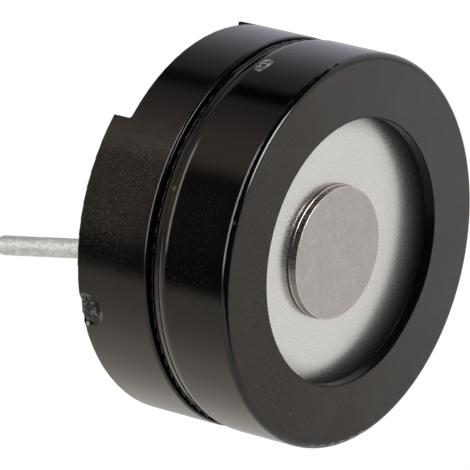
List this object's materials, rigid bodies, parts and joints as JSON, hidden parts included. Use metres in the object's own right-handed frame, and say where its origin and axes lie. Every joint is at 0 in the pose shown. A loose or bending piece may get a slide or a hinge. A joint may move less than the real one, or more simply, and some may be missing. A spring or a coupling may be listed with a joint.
{
  "type": "magnetic buzzer",
  "caption": "Round open-face magnetic buzzer: a black plastic case on feet, with a steel diaphragm and its weight in the sound opening, and solder pins behind.",
  "frame": {"origin": "centre of the plane that the feet stand on, midway between the pins", "axes": "+Z out of the sound face, along the case; X through both pins; the pins leave along -Z"},
  "size_m": [0.012, 0.012, 0.0109],
  "materials": {
    "housing_plastic": "glossy black moulded plastic with faint handling marks",
    "ring_plastic": "glossy black moulded wall, finely matt sound face",
    "diaphragm_steel": "satin, nearly mirror smooth",
    "weight_steel": "satin rolled top, bright punched edge",
    "support_brass": "turned",
    "magnet_ferrite": "matt sintered",
    "yoke_iron": "plated",
    "core_iron": "plated",
    "insulating_film": "amber film",
    "copper_wire": "enamelled copper",
    "board_laminate": "glass laminate with tinned pads",
    "tinned_pin": "dull tin plating",
    "solder": "smooth, slightly dull",
    "sealant_resin": "cured black resin"
  },
  "bodies": {
    "root": {"base_housing": "housing_plastic", "front_ring": "ring_plastic", "diaphragm": "diaphragm_steel", "diaphragm_weight": "weight_steel", "support_ring": "support_brass", "ring_magnet": "magnet_ferrite", "yoke_plate": "yoke_iron", "core_pole": "core_iron", "coil_insulator": "insulating_film", "coil_winding": "copper_wire", "coil_lead_a": "copper_wire", "coil_lead_b": "copper_wire", "circuit_board": "board_laminate", "terminal_pin_a": "tinned_pin", "terminal_pin_b": "tinned_pin", "solder_joint_a": "solder", "solder_joint_b": "solder", "rear_sealant": "sealant_resin"}
  },
  "joints": []
}
